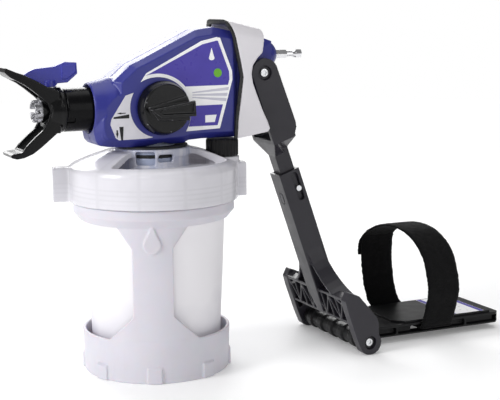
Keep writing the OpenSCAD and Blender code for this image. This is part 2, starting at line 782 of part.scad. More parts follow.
module bracket_leg() difference() {
    side_plate(bracket_half - 9, bracket_half) polygon(leg_outline);
    difference() {
        side_plate(bracket_half - 10, bracket_half - 2.5) polygon(leg_pocket);
        for (a = [-15, -2, 11, 24]) translate([0, 0, -arm_l]) rotate([0, a, 0])
            block([-0.7, bracket_half - 12, 8], [0.7, bracket_half, 50]);
    }
}

// Curved flange and its web, from the sleeve's side out to a leg
gusset_y = 58.5;
gusset_z = -146;
gusset_r = 50;

module gusset() rotate([90, 0, 90]) {
    translate([0, 0, -9]) linear_extrude(14.5) polygon(concat(
        arc(gusset_y, gusset_z, gusset_r, 180, 258, 10),
        arc(gusset_y, gusset_z, gusset_r + 2.4, 258, 180, 10)
    ));
    linear_extrude(2.2) polygon(concat(
        arc(gusset_y, gusset_z, gusset_r, 180, 258, 10),
        [[bracket_half - 8, -212], [6.9, -212], [6.9, gusset_z]]
    ));
    for (y = [19, 31]) translate([y, 0, -6.5]) linear_extrude(8) polygon([
        [-0.7, -205], [0.7, -205], [0.7, gusset_z - 42], [-0.7, gusset_z - 42]
    ]);
}

// Ribbed cross-beam between the bracket's legs
module lattice() {
    bays = 8;
    bay = (bracket_half - 9) * 2 / bays;
    difference() {
        block([-9.5, 7 - bracket_half, -213], [-1.5, bracket_half - 7, -189]);
        for (i = [0:bays - 1]) block(
            [-12, 9.9 - bracket_half + bay * i, -210.5], [0, 8.1 - bracket_half + bay * (i + 1), -191.5]
        );
    }
    for (i = [0:bays - 1]) translate([-9.3, 9 - bracket_half + bay * (i + 0.5), -201])
        rotate([i % 2 == 0 ? 31 : -31, 0, 0]) block([0, -0.9, -11], [7.6, 0.9, 11]);
}

module lower_arm() color("dimgray") arm_frame() difference() {
    union() {
        block([arm_c - sleeve_w / 2, -sleeve_w / 2, -192], [arm_c + sleeve_w / 2, sleeve_w / 2, -85.5]);
        hull() {
            block([arm_c - sleeve_w / 2, -sleeve_w / 2, -192], [arm_c + 3, sleeve_w / 2, -190]);
            block([-9.5, -5, -212], [-1.5, 5, -206]);
        }
        both_sides() {
            gusset();
            bracket_leg();
        }
        lattice();
    }
    block([arm_c - tube_w / 2 - gap, -tube_w / 2 - gap, -168],
        [arm_c + tube_w / 2 + gap, tube_w / 2 + gap, -80]);
    hull() for (z = [-1, 1]) translate([2, 0, slot_mid + z * (slot_l - slot_w) / 2])
        rod_y(-20, 0, slot_w / 2);
    hull() for (z = [-1, 1]) translate([arm_c, 0, -107 + 2.4 * z]) rod_x(-20, 0, 2.6);
    translate([0, 0, -arm_l]) {
        rod_y(-70, 70, 2.6);
        both_sides() rod_y(bracket_half - 4, 70, 5.4);
    }
}

module lock_button() color("gray") arm_frame() hull() for (z = [-1, 1])
    translate([arm_c, 0, -107 + 2.4 * z]) rod_x(-sleeve_w / 2 - 0.1, -tube_w / 2 - gap + 0.3, 2.3);

module foot_screws() color("silver") translate([foot_x, 0, foot_z]) both_sides() difference() {
    union() {
        rod_y(36, bracket_half - 3, 2.5);
        rod_y(bracket_half - 3.95, bracket_half - 2.2, 3.1);
    }
    translate([0, bracket_half - 3.2, 0]) rotate([-90, 0, 0]) cylinder(h = 5, r = 2, $fn = 6);
}

// ---------------------------------------------------------------- battery plate

plate_x0 = 168;
plate_x1 = 308;
plate_top = 14.6;
plate_low = 5.4;
strap_x = 241;    // middle of the strap on the plate
channel = 4.5;    // depth of the plate's side channels

module foot_plate() color("black") difference() {
    union() {
        block([plate_x0, -plate_half, plate_top - 2], [plate_x1, plate_half, plate_top]);
        block([plate_x0, -plate_half, plate_low], [plate_x1, plate_half, plate_low + 1.6]);
        block([plate_x0, -plate_half + channel, plate_low],
            [plate_x1 - channel, plate_half - channel, plate_top]);
        for (x = [plate_x0 + 1:34.4:plate_x1])
            block([x - 1, -plate_half, plate_low], [x + 1, plate_half, plate_top]);
        block([foot_x, -plate_half, plate_low], [plate_x0 + 4, plate_half, plate_top]);
        translate([foot_x, 0, foot_z]) {
            rod_y(-bracket_half + 9.5, bracket_half - 9.5, 6.8);
            for (y = [-2:2]) translate([0, 18 * y, 0]) rod_y(-4, 4, 8.2);
        }
    }
    both_sides() block([plate_x0 + 8, 2, 2], [plate_x1 - 8, 24, plate_top - 2.4]);
    block([strap_x - strap_w / 2 - 7, -40, 7.6], [strap_x + strap_w / 2 + 2, 40, 11]);
    translate([foot_x, 0, foot_z]) rod_y(-60, 60, 2.57);
    for (s = [-1, 1]) translate([plate_x1, s * plate_half, 0]) rotate(45) block([-3, -3, 0], [3, 3, 30]);
}

module plate_deck() color("black") translate([0, 0, plate_top + 0.02]) difference() {
    linear_extrude(1.8) polygon([
        [204, -22], [213, -30.5], [299, -30.5], [299, 30.5], [213, 30.5], [204, 22]
    ]);
    block([260.8, -29.2, 1.48], [294.2, 29.2, 3]);
}

module plate_label() color("white") block([261, -29, plate_top + 1.5], [294, 29, plate_top + 1.81]);

// The strap's course in Y and Z, with the lean of its upper part along X
strap_path = [
    [-30, 9.4, 0], [-34.9, 9.4, 0], [-35.9, 14, 0], [-37, 25, 3], [-37.6, 36, 5], [-36.6, 50, 5],
    [-33, 66, 3], [-26, 80, 0], [-14, 89.5, -4], [0, 92.6, -8], [14, 91, -12], [26, 84, -15],
    [34, 72, -17], [36.8, 58, -17], [37, 44, -16], [36.4, 30, -13.5], [35.9, 18, -10], [34.9, 9.4, -4],
    [30, 9.4, 0]
];

// A thin slice of strap that stands across its course
module strap_slice(i) {
    p = strap_path[i];
    q = strap_path[max(0, i - 1)];
    s = strap_path[min(len(strap_path) - 1, i + 1)];
    translate([strap_x + p[2], p[0], p[1]]) rotate([atan2(s[1] - q[1], s[0] - q[0]), 0, 0])
        cube([strap_w, 0.1, strap_t], center = true);
}

module strap() color("black") {
    for (i = [0:len(strap_path) - 2]) hull() {
        strap_slice(i);
        strap_slice(i + 1);
    }
    block([strap_x - strap_w / 2, -30.5, 8.4], [strap_x + strap_w / 2, 30.5, 10.4]);
}

// ---------------------------------------------------------------- assembly

cup_support();
flex_liner();
cup_cover();
cover_gasket();
vac_cap();
vac_valve();
housing_left();
housing_right();
saddle_cover();
saddle_trim();
side_label();
position_label();
housing_screws();
pump_block();
inlet_manifold();
neck_gasket();
suction_tube();
suction_strainer();
return_tube();
gear_frame();
rear_bearing_block();
shaft_bearings();
gear_bearings();
shaft_seal();
outlet_fitting();
outlet_seat();
outlet_ball();
outlet_spring();
piston_spring();
pivot_sleeve();
hex_shaft();
drive_pinion();
shaft_clip();
drive_gear();
gear_shaft();
swash_cam();
piston();
piston_seal();
prime_knob();
prime_stem();
retaining_nut();
tip_guard();
tip_seat();
tip_seal();
tip_flag();
tip_barrel();
upper_arm();
arm_screws();
guide_screw();
lower_arm();
foot_screws();
lock_button();
foot_plate();
plate_deck();
plate_label();
strap();
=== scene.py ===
"""Looks of the drill-driven airless paint sprayer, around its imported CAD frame.

Lengths in the tables are millimetres in the row frame: +X to the drill, -Y the knob side, +Z up.
"""

import json
import math

import bpy
from mathutils import Matrix, Vector, noise


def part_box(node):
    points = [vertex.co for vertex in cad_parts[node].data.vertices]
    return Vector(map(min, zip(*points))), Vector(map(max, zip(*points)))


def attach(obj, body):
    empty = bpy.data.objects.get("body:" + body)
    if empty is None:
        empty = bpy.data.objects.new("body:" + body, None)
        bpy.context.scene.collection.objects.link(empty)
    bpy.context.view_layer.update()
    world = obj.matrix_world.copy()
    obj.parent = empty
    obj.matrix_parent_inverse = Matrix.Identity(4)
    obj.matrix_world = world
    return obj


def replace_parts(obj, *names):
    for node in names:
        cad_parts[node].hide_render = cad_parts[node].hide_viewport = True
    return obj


MM = 0.001
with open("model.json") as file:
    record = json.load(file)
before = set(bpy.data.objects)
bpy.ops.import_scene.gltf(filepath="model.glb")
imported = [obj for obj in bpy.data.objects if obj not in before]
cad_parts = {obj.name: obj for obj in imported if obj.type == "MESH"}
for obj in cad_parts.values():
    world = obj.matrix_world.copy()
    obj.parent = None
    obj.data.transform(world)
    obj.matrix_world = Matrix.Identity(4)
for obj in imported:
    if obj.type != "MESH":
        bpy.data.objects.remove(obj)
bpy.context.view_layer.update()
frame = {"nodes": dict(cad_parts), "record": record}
nodes = frame["nodes"]


def mm(x, y, z):
    """A point given in millimetres, in metres."""
    return Vector((x, y, z)) * MM


# ---------------------------------------------------------------- camera, floor and lights

CAMERA_PLACE = (-347.1, -922.9, 289.1)
CAMERA_TURN, CAMERA_DROP, CAMERA_ROLL = -24.99, 9.11, -0.535  # degrees
CAMERA_LENS = 91.5
SENSOR_WIDTH = 36


def add_camera():
    data = bpy.data.cameras.new("camera")
    data.lens = CAMERA_LENS
    data.sensor_width = SENSOR_WIDTH
    camera = bpy.data.objects.new("camera", data)
    bpy.context.scene.collection.objects.link(camera)
    turn = Matrix.Rotation(math.radians(CAMERA_TURN), 4, "Z")
    drop = Matrix.Rotation(math.radians(90 - CAMERA_DROP), 4, "X")
    roll = Matrix.Rotation(math.radians(CAMERA_ROLL), 4, "Z")
    camera.matrix_world = Matrix.Translation(mm(*CAMERA_PLACE)) @ turn @ drop @ roll
    bpy.context.scene.camera = camera


def add_light(name, place, target, size, power):
    data = bpy.data.lights.new(name, "AREA")
    data.shape = "RECTANGLE"
    data.size, data.size_y = size
    data.energy = power
    light = bpy.data.objects.new(name, data)
    bpy.context.scene.collection.objects.link(light)
    light.location = place
    light.rotation_euler = (Vector(target) - Vector(place)).to_track_quat("-Z", "Y").to_euler()


LIGHTS = {  # name: (place, aimed at, width and height, all in metres, and watts)
    "key": ((-1.95, -0.35, 0.9), (0.08, 0.0, 0.15), (0.9, 1.2), 30),
    "fill": ((0.85, -1.75, 0.75), (0.08, 0.0, 0.12), (0.9, 1.3), 5.5),
    "top": ((-0.1, 0.1, 1.9), (0.05, 0.0, 0.15), (1.9, 1.3), 12),
    "rim": ((0.25, 1.62, 0.98), (0.0, 0.0, 0.24), (1.6, 0.8), 23),
    "glint": ((-0.85, -1.25, 0.95), (-0.05, 0.0, 0.2), (0.16, 0.34), 1.8),
}
DAYLIGHT = 0.26  # strength of the room's light on the object
BACKDROP = 1.0   # brightness of the room as the camera sees it


def add_lights():
    for name, (place, target, size, power) in LIGHTS.items():
        add_light(name, place, target, size, power)
    world = bpy.data.worlds.new("studio")
    world.use_nodes = True
    tree = world.node_tree
    seen = tree.nodes.new("ShaderNodeLightPath").outputs["Is Camera Ray"]
    strength = tree.nodes.new("ShaderNodeMapRange")
    strength.inputs["To Min"].default_value = DAYLIGHT
    strength.inputs["To Max"].default_value = BACKDROP
    background = tree.nodes["Background"]
    background.inputs["Color"].default_value = (1.0, 1.0, 1.0, 1)
    tree.links.new(seen, strength.inputs["Value"])
    tree.links.new(strength.outputs["Result"], background.inputs["Strength"])
    bpy.context.scene.world = world
    bpy.context.scene.view_settings.view_transform = "Standard"


def add_mesh(name, vertices, faces, smooth=True):
    """A mesh object from vertices in millimetres."""
    mesh = bpy.data.meshes.new(name)
    mesh.from_pydata([mm(*v) for v in vertices], [], faces)
    mesh.validate()
    mesh.update()
    for face in mesh.polygons:
        face.use_smooth = smooth
    obj = bpy.data.objects.new(name, mesh)
    bpy.context.scene.collection.objects.link(obj)
    return obj


FLOOR_RINGS = (0.5, 900, 2600)  # radii of the floor's rings
FLOOR_STEPS = 72


def add_floor():
    """A round studio floor that runs out into the white room."""
    vertices, faces = [], []
    rings = len(FLOOR_RINGS)
    for i in range(FLOOR_STEPS):
        a = 2 * math.pi * i / FLOOR_STEPS
        vertices += [(r * math.cos(a), r * math.sin(a), 0) for r in FLOOR_RINGS]
        here, ahead = i * rings, (i + 1) % FLOOR_STEPS * rings
        faces += [(here + k, ahead + k, ahead + k + 1, here + k + 1) for k in range(rings - 1)]
    floor = add_mesh("studio_floor", vertices, faces)
    floor.data.materials.append(materials["studio"])


# ---------------------------------------------------------------- materials

class Surface:
    """Builds one procedural material on a Principled shader. Textures are laid out in metres."""

    def __init__(self, material):
        """Goes on with a material: a new one by name, or one that is already made."""
        if isinstance(material, str):
            material = bpy.data.materials.new(material)
            material.use_nodes = True
        self.material = material
        self.tree = material.node_tree
        self.shader = self.tree.nodes["Principled BSDF"]
        self.place = self.add("ShaderNodeTexCoord").outputs["Object"]
        self.height = None

    def add(self, kind, **settings):
        node = self.tree.nodes.new(kind)
        for key, value in settings.items():
            setattr(node, key, value)
        return node

    def link(self, source, target):
        self.tree.links.new(source, target)

    def fix(self, **values):
        """Sets the shader's constant sockets."""
        for key, value in values.items():
            self.shader.inputs[key.replace("_", " ")].default_value = value

    def noise(self, size, detail=2.0, stretch=None):
        """Noise whose features are about size millimetres."""
        noise = self.add("ShaderNodeTexNoise")
        noise.inputs["Scale"].default_value = 1 / (size * MM)
        noise.inputs["Detail"].default_value = detail
        source = self.place
        if stretch:
            mapping = self.add("ShaderNodeMapping")
            mapping.inputs["Scale"].default_value = stretch
            self.link(source, mapping.inputs["Vector"])
            source = mapping.outputs["Vector"]
        self.link(source, noise.inputs["Vector"])
        return noise.outputs["Fac"]

    def spread(self, source, low, high, start=0.3, end=0.7):
        """Maps start..end of a source to low..high."""
        node = self.add("ShaderNodeMapRange")
        for key, value in (("From Min", start), ("From Max", end), ("To Min", low), ("To Max", high)):
            node.inputs[key].default_value = value
        self.link(source, node.inputs["Value"])
        return node.outputs["Result"]

    def math(self, operation, a, b):
        node = self.add("ShaderNodeMath", operation=operation)
        for socket, value in zip(node.inputs, (a, b)):
            if isinstance(value, (int, float)):
                socket.default_value = value
            else:
                self.link(value, socket)
        return node.outputs["Value"]

    def split(self, vector):
        """The X, Y and Z sockets of a vector."""
        node = self.add("ShaderNodeSeparateXYZ")
        self.link(vector, node.inputs["Vector"])
        return node.outputs["X"], node.outputs["Y"], node.outputs["Z"]

    def reach(self, a, b):
        """The length of the hypotenuse over a and b."""
        squares = self.math("ADD", self.math("MULTIPLY", a, a), self.math("MULTIPLY", b, b))
        return self.math("SQRT", squares, 0)

    def mix(self, factor, a, b):
        """Blends two colours, each a tuple or a socket."""
        node = self.add("ShaderNodeMix", data_type="RGBA")
        for name, value in (("Factor", factor), ("A", a), ("B", b)):
            socket = node.inputs[name]
            if isinstance(value, (int, float)):
                socket.default_value = value
            elif isinstance(value, tuple):
                socket.default_value = (*value, 1)
            else:
                self.link(value, socket)
        return node.outputs["Result"]

    def bump(self, height, depth, strength=1.0):
        """Adds a relief of depth millimetres on top of the ones before."""
        node = self.add("ShaderNodeBump")
        node.inputs["Strength"].default_value = strength
        node.inputs["Distance"].default_value = depth * MM
        self.link(height, node.inputs["Height"])
        if self.height:
            self.link(self.height, node.inputs["Normal"])
        self.height = node.outputs["Normal"]
        self.link(self.height, self.shader.inputs["Normal"])

    def edge(self, start=0.52, end=0.6):
        """1 on convex edges, worn ones and, on the knob, ones given a painted highlight; 0 elsewhere, broken
        up by noise.
        """
        geometry = self.add("ShaderNodeNewGeometry")
        sharp = self.spread(geometry.outputs["Pointiness"], 0, 1, start, end)
        return self.math("MULTIPLY", sharp, self.spread(self.noise(3, 4), 0.2, 1, 0.4, 0.65))


def shade(colour, factor):
    return tuple(min(1.0, c * factor) for c in colour)


PATCH = 38            # size of a moulded surface's colour patches
SMUDGE = 14           # size of its smudges
SCRATCH = (1.3, 14)   # width of its scratches, and how many times longer they are
SINK = (26, 0.12)     # size and depth of its sink marks
GRAIN = 0.35          # size of its texture


def plastic(name, colour, rough, depth=0.012, wear_and_highlight=0.25, wear_and_highlight_colour=None, vary=0.08, **constants):
    """A moulded plastic: soft colour drift, a fine texture, uneven gloss, scuffs, and worn edges, which on
    the knob are a painted highlight.
    """
    s = Surface(name)
    drift = s.spread(s.noise(PATCH, 3), 0, 1)
    base = s.mix(drift, shade(colour, 1 - vary), shade(colour, 1 + vary))
    # lighter edges: real scuffing on most plastics, a painted highlight on the knob
    edge_wear_and_highlight = s.math("MULTIPLY", s.edge(), wear_and_highlight)
    s.link(s.mix(edge_wear_and_highlight, base, wear_and_highlight_colour or shade(colour, 1.9)), s.shader.inputs["Base Color"])
    smudge = s.spread(s.noise(SMUDGE, 4), rough - 0.05, rough + 0.07)
    width, length = SCRATCH
    scratch = s.spread(s.noise(width, 2, (1, 1, length)), 0, 0.06, 0.62, 0.75)
    s.link(s.math("ADD", smudge, scratch), s.shader.inputs["Roughness"])
    s.bump(s.noise(GRAIN, 2), depth)
    size, sunk = SINK
    s.bump(s.noise(size, 1), sunk, 0.5)
    s.fix(**constants)
    return s.material


LUGS = (-88.8, 9.6, 206)  # the guard's lugs: their start along X, their radius, the spray axis height
LUG_STEEL = (0.5, 0.5, 0.53)


def guard_plastic(name):
    """Glossy black, with paint-polished bare metal on the lugs round the orifice."""
    material = plastic(name, (0.003, 0.003, 0.0035), 0.22, depth=0.004, wear_and_highlight_colour=(0.03, 0.03, 0.032),
                       Specular_IOR_Level=0.22)
    s = Surface(material)
    x, y, z = s.split(s.place)
    start, radius, height = (v * MM for v in LUGS)
    out = s.reach(y, s.math("SUBTRACT", z, height))
    front = s.spread(x, 1, 0, start - 0.4 * MM, start + 0.4 * MM)
    near = s.spread(out, 1, 0, radius, radius + 0.3 * MM)
    polished = s.math("MULTIPLY", s.math("MULTIPLY", front, near), s.spread(s.noise(2.5, 3), 0.35, 1))
    black = s.shader.inputs["Base Color"].links[0].from_socket
    s.link(s.mix(polished, black, LUG_STEEL), s.shader.inputs["Base Color"])
    s.link(polished, s.shader.inputs["Metallic"])
    return material


def clear_plastic(name, colour, rough):
    """A milky plastic: cloudy, slightly wavy and softly glossy, with faint handling marks."""
    s = Surface(name)
    cloud = s.spread(s.noise(30, 3), 0, 1)
    milky = s.mix(cloud, shade(colour, 0.96), colour)
    marks = s.spread(s.noise(2.2, 3, (1, 1, 5)), 0, 0.25, 0.62, 0.78)
    s.link(s.mix(marks, milky, shade(colour, 0.9)), s.shader.inputs["Base Color"])
    s.link(s.spread(s.noise(9, 3), rough - 0.06, rough + 0.08), s.shader.inputs["Roughness"])
    s.bump(s.noise(0.6, 2), 0.01)
    s.bump(s.noise(18, 2), 0.25, 0.5)
    return s.material


LINER_LEVELS = (22, 62)  # heights between which the liner's painted shade at the foot, standing for what is behind it, turns into its lit colour
LINER_WANDER = 12        # how far that edge wanders up and down
# the liner's painted shade at the foot, and its painted lit colour above
LINER_PAINTED_SHADE, LINER_LIT = (0.62, 0.605, 0.67), (0.76, 0.745, 0.775)
LINER_PAINTED_GLOW = (0.02, 0.1)  # painted glow for the light that comes through, at the foot and above


def liner_film(name):
    """Thin milky film: a painted glow and lighter colour where light comes through, painted shade near the
    base ring, faintly creased.
    """
    s = Surface(name)
    _, _, z = s.split(s.place)
    low, high = (v * MM for v in LINER_LEVELS)
    wander = s.spread(s.noise(45, 2), -LINER_WANDER * MM, LINER_WANDER * MM, 0.3, 0.7)
    # painted shade at the foot, rising into the painted lit colour
    lit = s.spread(s.math("ADD", z, wander), 0, 1, low, high)
    s.link(s.mix(lit, LINER_PAINTED_SHADE, LINER_LIT), s.shader.inputs["Base Color"])
    # painted glow: the film gives off light where light would come through it
    s.link(s.spread(lit, *LINER_PAINTED_GLOW, 0, 1), s.shader.inputs["Emission Strength"])
    s.link(s.spread(s.noise(9, 3), 0.42, 0.56), s.shader.inputs["Roughness"])
    s.bump(s.noise(0.6, 2), 0.01)
    s.bump(s.noise(20, 2, (1, 1, 0.35)), 0.3, 0.5)
    s.fix(Emission_Color=(1, 0.98, 1, 1))
    return s.material


THREAD = (137, 152, 3.6)  # the lid's inner thread, painted as darker see-through shade: heights and pitch
NECK = (29.5, 31.2)       # radii between which its clearer neck, painted in see-through shade, turns milky
# painted see-through shade of the clear neck
NECK_PAINTED_SHADE = (0.40, 0.43, 0.56)
RIB_STEP = 30             # degrees between the lid's inner ribs, painted as darker see-through shade


def lid_plastic(name, colour, rough):
    """The lid's milky plastic, with painted see-through shade where its inner thread and ribs show faintly
    through the wall and on its clearer neck.
    """
    s = Surface(name)
    x, y, z = s.split(s.place)
    low, high, pitch = (v * MM for v in THREAD)
    turns = s.math("SINE", s.math("MULTIPLY", z, 2 * math.pi / pitch), 0)
    above = s.spread(z, 0, 1, low, low + 2 * MM)
    below = s.spread(z, 1, 0, high - 2 * MM, high)
    thread = s.math("MULTIPLY", s.spread(turns, 0, 0.5, -0.2, 1), s.math("MULTIPLY", above, below))
    angle = s.math("ARCTAN2", y, x)
    ribs = s.math("PINGPONG", s.math("ADD", angle, math.pi), math.radians(RIB_STEP) / 2)
    rib = s.spread(ribs, 0.4, 0, 0.01, 0.035)
    # darker painted shade where the thread and ribs show through the wall
    see_through_shade = s.math("MAXIMUM", thread, rib)
    cloud = s.spread(s.noise(24, 3), 0, 1)
    milky = s.mix(cloud, shade(colour, 0.95), shade(colour, 1.04))
    # painted see-through shade on the clear neck, broken into vertical streaks
    neck = s.spread(s.reach(x, y), 1, 0, *(r * MM for r in NECK))
    shade_streaks = s.spread(s.noise(5, 2, (1, 1, 0.15)), 0.25, 1, 0.35, 0.65)
    milky = s.mix(s.math("MULTIPLY", neck, shade_streaks), milky, NECK_PAINTED_SHADE)
    s.link(s.mix(see_through_shade, milky, shade(colour, 0.88)), s.shader.inputs["Base Color"])
    s.link(s.spread(s.noise(9, 3), rough - 0.05, rough + 0.07), s.shader.inputs["Roughness"])
    s.bump(s.noise(0.6, 2), 0.006)
    s.bump(s.noise(22, 1), 0.1, 0.4)
    return s.material


def metal(name, colour, rough):
    """A machined or plated metal with turning marks, fingerprints and dulled patches."""
    s = Surface(name)
    dull = s.spread(s.noise(7, 4), 0, 1, 0.45, 0.75)
    s.link(s.mix(dull, colour, shade(colour, 0.8)), s.shader.inputs["Base Color"])
    lines = s.noise(0.25, 2, (14, 1, 1))
    s.link(s.math("ADD", s.spread(lines, rough * 0.7, rough * 1.3), s.math("MULTIPLY", dull, 0.03)),
           s.shader.inputs["Roughness"])
    s.bump(lines, 0.004)
    s.fix(Metallic=1.0)
    return s.material


def rubber(name, colour, rough=0.6):
    """Soft rubber with a little dust."""
    s = Surface(name)
    dust = s.spread(s.noise(5, 4), 0, 0.35, 0.5, 0.8)
    s.link(s.mix(dust, colour, shade(colour, 2.2)), s.shader.inputs["Base Color"])
    s.link(s.spread(s.noise(3, 3), rough - 0.08, rough + 0.1), s.shader.inputs["Roughness"])
    s.bump(s.noise(0.5, 2), 0.015)
    return s.material


def printed_film(name, colour):
    """A printed label: a fine orange peel and slightly uneven ink."""
    s = Surface(name)
    ink = s.spread(s.noise(9, 4), 0, 1)
    s.link(s.mix(ink, shade(colour, 0.96), shade(colour, 1.04)), s.shader.inputs["Base Color"])
    s.link(s.spread(s.noise(4, 4), 0.25, 0.42), s.shader.inputs["Roughness"])
    s.bump(s.noise(1.2, 2), 0.002)
    s.fix(Specular_IOR_Level=0.3)
    return s.material


WEAVE = 1.15  # pitch of the strap's weave
PILE = 0.7    # size of its loops
WEB_BLACK, WEB_LINT = (0.0028, 0.0028, 0.0032), (0.016, 0.016, 0.018)


def woven_webbing(name):
    """Hook-and-loop webbing: UV runs in metres, across and along, with a brushed loop pile."""
    s = Surface(name)
    uv = s.add("ShaderNodeTexCoord").outputs["UV"]
    across, along, _ = s.split(uv)
    wave = 2 * math.pi / (WEAVE * MM)
    warp = s.math("SINE", s.math("MULTIPLY", across, wave), 0)
    weft = s.math("SINE", s.math("MULTIPLY", along, wave), 0)
    weave = s.math("MULTIPLY", warp, weft)
    loops = s.add("ShaderNodeTexNoise")
    loops.inputs["Scale"].default_value = 1 / (PILE * MM)
    loops.inputs["Detail"].default_value = 4
    s.link(uv, loops.inputs["Vector"])
    pile = loops.outputs["Fac"]
    lint = s.spread(pile, 0, 1, 0.58, 0.75)
    s.link(s.mix(lint, WEB_BLACK, WEB_LINT), s.shader.inputs["Base Color"])
    s.link(s.spread(s.noise(6, 3), 0.82, 0.98), s.shader.inputs["Roughness"])
    s.bump(pile, 0.35)
    s.bump(weave, 0.09)
    s.fix(Sheen_Weight=0.06, Sheen_Roughness=0.5, Specular_IOR_Level=0.12)
    return s.material


PAPER_GLOW = 0.16  # light that the paper gives back near the object
FADE = (0.6, 1.5)  # distances in metres over which the floor turns into the white room


def studio_paper(name):
    """Off-white paper that fades into the white room far from the object."""
    s = Surface(name)
    length = s.add("ShaderNodeVectorMath", operation="LENGTH")
    s.link(s.place, length.inputs[0])
    far = s.spread(length.outputs["Value"], 0, 1, *FADE)
    paper = s.mix(s.spread(s.noise(400, 2), 0, 1), (0.87, 0.87, 0.88), (0.9, 0.9, 0.9))
    s.link(s.mix(far, paper, (0.0, 0.0, 0.0)), s.shader.inputs["Base Color"])
    s.link(s.spread(far, PAPER_GLOW, BACKDROP, 0, 1), s.shader.inputs["Emission Strength"])
    s.fix(Roughness=0.6, Specular_IOR_Level=0.1, Emission_Color=(1, 1, 1, 1))
    return s.material


BLUE = (0.022, 0.026, 0.215)
PRINT_BLUE = (0.068, 0.050, 0.36)
WHITE_INK = (0.96, 0.96, 0.98)
CHARCOAL = (0.017, 0.0155, 0.022)
BLACK = (0.0045, 0.0045, 0.005)
STEEL = (0.72, 0.73, 0.75)
DARK = dict(Specular_IOR_Level=0.22)

materials = {
    "studio": studio_paper("studio_paper"),
    "support_plastic": plastic("support_plastic", (0.615, 0.6, 0.66), 0.42, depth=0.008, vary=0.03,
                               wear_and_highlight_colour=(0.74, 0.74, 0.78), Subsurface_Weight=0.2,
                               Subsurface_Scale=0.004),
    "liner_film": liner_film("liner_film"),
    "cover_plastic": lid_plastic("cover_plastic", (0.665, 0.655, 0.70), 0.2),
    "seal_rubber": rubber("seal_rubber", BLACK),
    "black_plastic": plastic("black_plastic", BLACK, 0.34, wear_and_highlight_colour=(0.035, 0.035, 0.037), **DARK),
    "blue_plastic": plastic("blue_plastic", BLUE, 0.36, wear_and_highlight_colour=(0.10, 0.11, 0.45), depth=0.01),
    "grey_plastic": plastic("grey_plastic", (0.73, 0.71, 0.745), 0.4, depth=0.008, vary=0.025,
                            wear_and_highlight_colour=(0.8, 0.8, 0.82)),
    "trim_rubber": rubber("trim_rubber", BLACK, 0.45),
    "label_film": printed_film("label_film", WHITE_INK),
    "decal_film": printed_film("decal_film", (0.70, 0.69, 0.74)),
    "screw_steel": metal("screw_steel", STEEL, 0.22),
    "cast_aluminium": metal("cast_aluminium", (0.55, 0.55, 0.57), 0.45),
    "manifold_plastic": clear_plastic("manifold_plastic", (0.42, 0.47, 0.62), 0.3),
    "tube_plastic": clear_plastic("tube_plastic", (0.85, 0.85, 0.88), 0.35),
    "strainer_plastic": plastic("strainer_plastic", (0.09, 0.09, 0.1), 0.45),
    "bearing_steel": metal("bearing_steel", STEEL, 0.2),
    "turned_steel": metal("turned_steel", STEEL, 0.16),
    "brass": metal("brass", (0.75, 0.55, 0.25), 0.2),
    "spring_steel": metal("spring_steel", (0.5, 0.5, 0.52), 0.25),
    "shank_steel": metal("shank_steel", (0.82, 0.82, 0.84), 0.09),
    "gear_steel": metal("gear_steel", (0.45, 0.43, 0.41), 0.35),
    # the knob's full-strength light edge colour is a painted highlight along its lever's ridges
    "knob_plastic": plastic("knob_plastic", (0.0028, 0.0028, 0.0034), 0.2, wear_and_highlight=1.0,
                            wear_and_highlight_colour=(0.3, 0.3, 0.32), Specular_IOR_Level=0.3),
    "gloss_black": plastic("gloss_black", (0.0026, 0.0026, 0.0032), 0.24, depth=0.004,
                           wear_and_highlight_colour=(0.03, 0.03, 0.032), Specular_IOR_Level=0.12),
    "guard_black": guard_plastic("guard_black"),
    "tip_seal_rubber": rubber("tip_seal_rubber", (0.6, 0.16, 0.02)),
    "flag_plastic": plastic("flag_plastic", (0.036, 0.04, 0.33), 0.3, wear_and_highlight_colour=(0.16, 0.17, 0.6)),
    "arm_plastic": plastic("arm_plastic", CHARCOAL, 0.36, wear_and_highlight_colour=(0.09, 0.085, 0.10),
                           Specular_IOR_Level=0.42),
    "button_plastic": plastic("button_plastic", shade(CHARCOAL, 1.2), 0.38,
                              wear_and_highlight_colour=(0.13, 0.12, 0.14)),
    "plate_plastic": plastic("plate_plastic", (0.007, 0.007, 0.0078), 0.4,
                             wear_and_highlight_colour=(0.05, 0.05, 0.05), **DARK),
    "plate_label_film": printed_film("plate_label_film", WHITE_INK),
    "webbing": woven_webbing("webbing"),
    "print_blue": printed_film("print_blue", PRINT_BLUE),
    "fan_ink": printed_film("fan_ink", (0.60, 0.59, 0.68)),
    "ink_black": printed_film("ink_black", (0.012, 0.012, 0.013)),
    "ink_green": printed_film("ink_green", (0.14, 0.42, 0.03)),
}


SPECIAL = {"tip_guard": "guard_black"}  # nodes whose finish is a variant of their slot's


def paint_nodes():
    """Every CAD node takes the material of its slot."""
    for part in frame["record"]["subparts"]:
        mesh = nodes[part["node"]].data
        mesh.materials.clear()
        mesh.materials.append(materials[SPECIAL.get(part["node"], part["material_slot"])])


# ---------------------------------------------------------------- edges of the carried-over parts

WELD = 0.01       # points closer than this are one
BEVEL_ANGLE = 38  # edges that turn by more degrees are bevelled


def mould(node, cell, rounds, keep):
    """Rounds every edge of a CAD node as a mould does, with a skin of cell millimetres."""
    stack = nodes[node].modifiers
    stack.new("weld", "WELD").merge_threshold = WELD * MM
    skin = stack.new("skin", "REMESH")
    skin.mode = "VOXEL"
    skin.voxel_size = cell * MM
    skin.use_smooth_shade = True
    ease = stack.new("ease", "SMOOTH")
    ease.factor = 0.5
    ease.iterations = rounds
    stack.new("thin", "DECIMATE").ratio = keep


def break_edges(node, width):
    """Bevels a machined CAD node's edges by width millimetres."""
    stack = nodes[node].modifiers
    stack.new("weld", "WELD").merge_threshold = WELD * MM
    bevel = stack.new("bevel", "BEVEL")
    bevel.width = width * MM
    bevel.segments = 2
    bevel.limit_method = "ANGLE"
    bevel.angle_limit = math.radians(BEVEL_ANGLE)
    bevel.use_clamp_overlap = True
    stack.new("level", "WEIGHTED_NORMAL")


